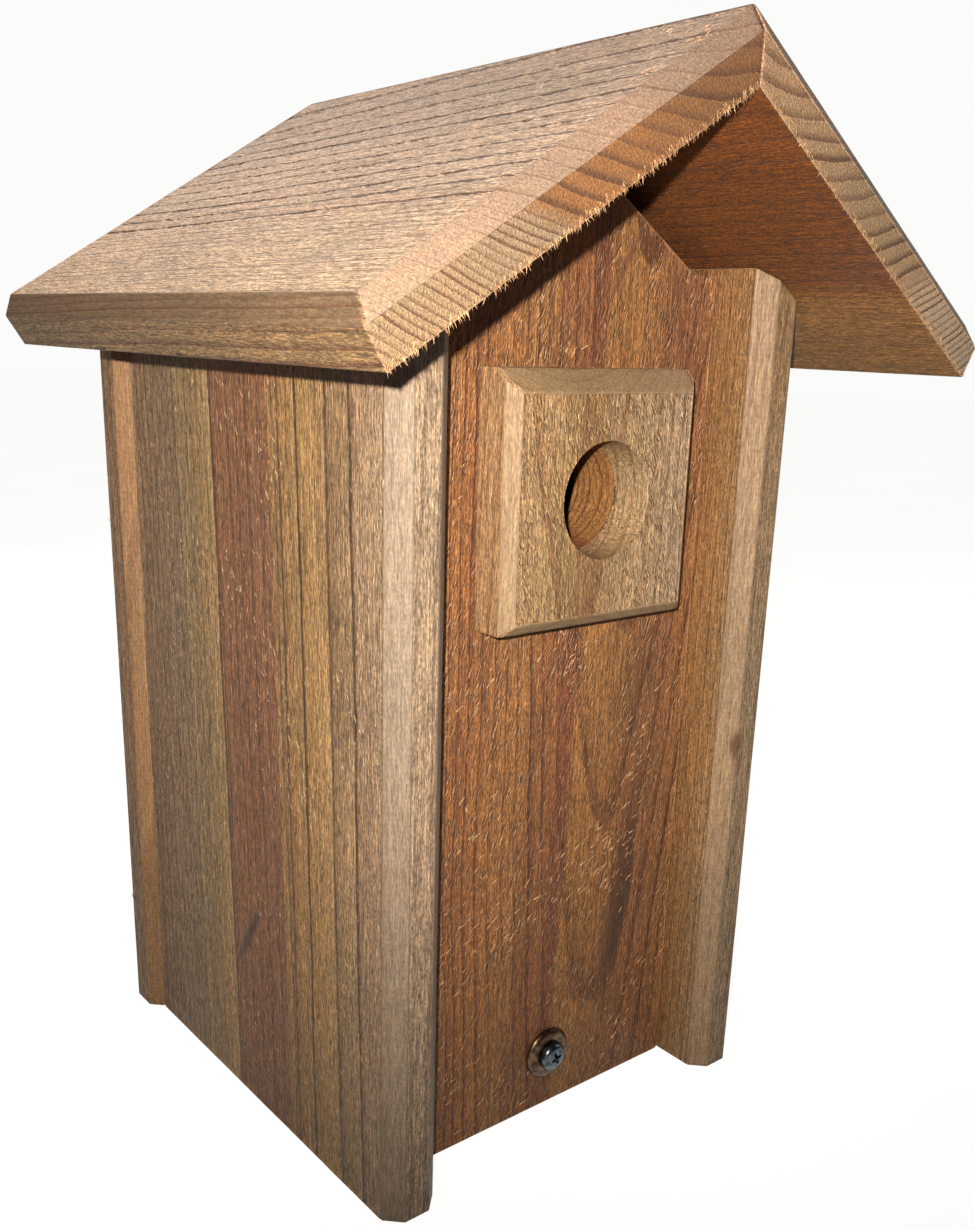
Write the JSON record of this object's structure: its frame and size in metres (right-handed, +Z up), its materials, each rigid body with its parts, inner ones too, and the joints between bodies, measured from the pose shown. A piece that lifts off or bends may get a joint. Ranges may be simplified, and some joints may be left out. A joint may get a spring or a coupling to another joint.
{
  "type": "birdhouse",
  "caption": "Cedar nest box with a pitched roof, a round entrance through a thick guard block, and a front that swings out for cleaning once its bottom screw is backed out.",
  "frame": {"origin": "on the ground under the middle of the roof's depth, below the ridge", "axes": "+X to the viewer's right when facing the entrance, +Y from the entrance to the back board, +Z up"},
  "size_m": [0.2126, 0.199, 0.3156],
  "materials": {
    "cedar_back": "planed, unfinished cedar",
    "cedar_left": "rough sawn, unfinished cedar",
    "cedar_right": "planed inside and rough outside, unfinished cedar",
    "cedar_floor": "planed, unfinished cedar",
    "cedar_roof_left": "rough sawn on top, unfinished cedar",
    "cedar_roof_right": "rough sawn on top, unfinished cedar",
    "cedar_front": "rough sawn, unfinished cedar",
    "cedar_block": "rough sawn, unfinished cedar",
    "bright_steel": "zinc plated",
    "screw_zinc": "dark zinc, slightly worn",
    "washer_bronze": "dark bronze coating"
  },
  "bodies": {
    "box": {"back_board": "cedar_back", "left_wall": "cedar_left", "right_wall": "cedar_right", "floor_board": "cedar_floor", "roof_left": "cedar_roof_left", "roof_right": "cedar_roof_right", "pivot_nails": "bright_steel", "roof_brads": "bright_steel", "back_brads": "bright_steel", "floor_brads": "bright_steel"},
    "front": {"front_door": "cedar_front", "entrance_block": "cedar_block", "block_screws": "bright_steel"},
    "washer": {"screw_washer": "washer_bronze"},
    "screw": {"door_screw": "screw_zinc"}
  },
  "joints": [
    {"name": "front_swing", "type": "hinge", "parent": "box", "child": "front", "pos_m": [0, -0.035, 0.24], "axis": [-1, 0, 0], "range_deg": [0, 85]},
    {"name": "screw_travel", "type": "slide", "parent": "front", "child": "washer", "axis": [0, -1, 0], "range_m": [0, 0.0273]},
    {"name": "screw_turn", "type": "hinge", "parent": "washer", "child": "screw", "pos_m": [0, -0.0462, 0.02], "axis": [0, -1, 0], "range_deg": [0, 4700]}
  ],
  "couplings": [
    {"joint": "screw_turn", "follows": "screw_travel", "rad_per_m": 2992}
  ]
}
